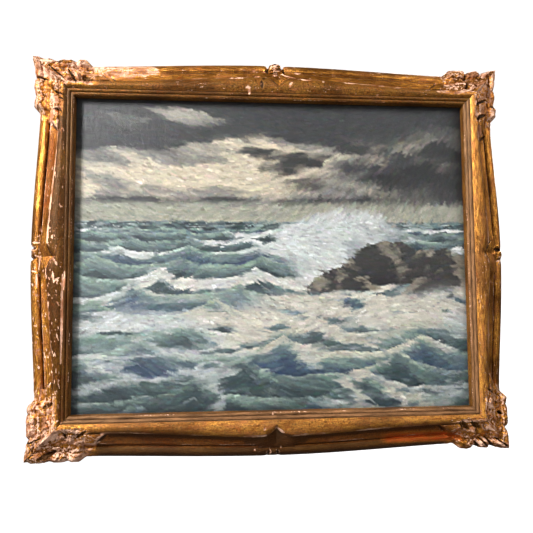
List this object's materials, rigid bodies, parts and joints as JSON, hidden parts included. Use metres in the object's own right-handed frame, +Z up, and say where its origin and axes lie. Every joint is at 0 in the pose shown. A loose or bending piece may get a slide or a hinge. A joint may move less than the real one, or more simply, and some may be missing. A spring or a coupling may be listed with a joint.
{
  "type": "framed oil painting",
  "caption": "Rectangular seascape in oils on stretched canvas, in a worn gilt wooden frame with swept sides, carved leaf corners and a sawtooth hanger at the back.",
  "frame": {"origin": "Middle of the back face of the sawtooth hanger, which lies in the plane of the frame's back, on the wall", "axes": "+Z up, +X to the right as seen from the front; the picture faces -Y and the wall is on the +Y side, at Y = 0"},
  "size_m": [0.617, 0.0428, 0.511],
  "materials": {
    "gilt_wood": "worn gilding over gesso, satin",
    "painted_canvas": "oil paint on woven canvas, low sheen",
    "bare_wood": "sawn softwood, unfinished",
    "steel": "dull zinc-plated"
  },
  "bodies": {
    "root": {"rail_top": "gilt_wood", "rail_right": "gilt_wood", "rail_bottom": "gilt_wood", "rail_left": "gilt_wood", "canvas": "painted_canvas", "stretcher_top": "bare_wood", "stretcher_right": "bare_wood", "stretcher_bottom": "bare_wood", "stretcher_left": "bare_wood", "brad_top_a": "steel", "brad_top_b": "steel", "brad_right_a": "steel", "brad_right_b": "steel", "brad_bottom_a": "steel", "brad_bottom_b": "steel", "brad_left_a": "steel", "brad_left_b": "steel", "hanger": "steel", "hanger_screw_left": "steel", "hanger_screw_right": "steel"}
  },
  "joints": []
}
